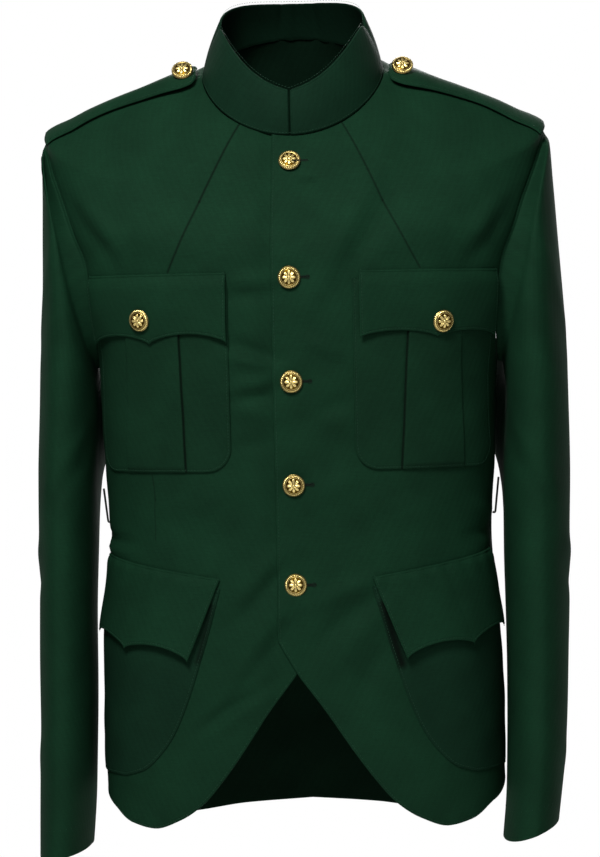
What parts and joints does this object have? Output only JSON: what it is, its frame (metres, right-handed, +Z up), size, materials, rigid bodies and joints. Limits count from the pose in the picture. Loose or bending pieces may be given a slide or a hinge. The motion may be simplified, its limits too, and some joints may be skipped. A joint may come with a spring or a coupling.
{
  "type": "military tunic",
  "caption": "Hollow worn-form military tunic with a stand collar, shoulder straps, flapped pleated chest pockets, slanted skirt pockets, a buttoned front and a cut-away hem.",
  "frame": {"origin": "middle of the neck, level with the front ends of the shoulder straps, where the wearer's shoulders hold the tunic up", "axes": "front faces -Y, +X towards the wearer's left, +Z up"},
  "size_m": [0.5072, 0.2607, 0.807],
  "materials": {
    "green_cloth": "dark green worsted gabardine",
    "gilt_brass": "gilt, die-struck relief",
    "black_wire": "black lacquered wire"
  },
  "bodies": {
    "root": {"back": "green_cloth", "belt_hook_left": "black_wire", "belt_hook_right": "black_wire", "button_chest_left": "gilt_brass", "button_chest_right": "gilt_brass", "button_front_1": "gilt_brass", "button_front_2": "gilt_brass", "button_front_3": "gilt_brass", "button_front_4": "gilt_brass", "button_front_5": "gilt_brass", "button_strap_left": "gilt_brass", "button_strap_right": "gilt_brass", "chest_flap_left": "green_cloth", "chest_flap_right": "green_cloth", "chest_pocket_left": "green_cloth", "chest_pocket_right": "green_cloth", "collar": "green_cloth", "front_left": "green_cloth", "front_right": "green_cloth", "lower_flap_left": "green_cloth", "lower_flap_right": "green_cloth", "lower_pocket_left": "green_cloth", "lower_pocket_right": "green_cloth", "shoulder_strap_left": "green_cloth", "shoulder_strap_right": "green_cloth", "sleeve_left": "green_cloth", "sleeve_right": "green_cloth"}
  },
  "joints": []
}
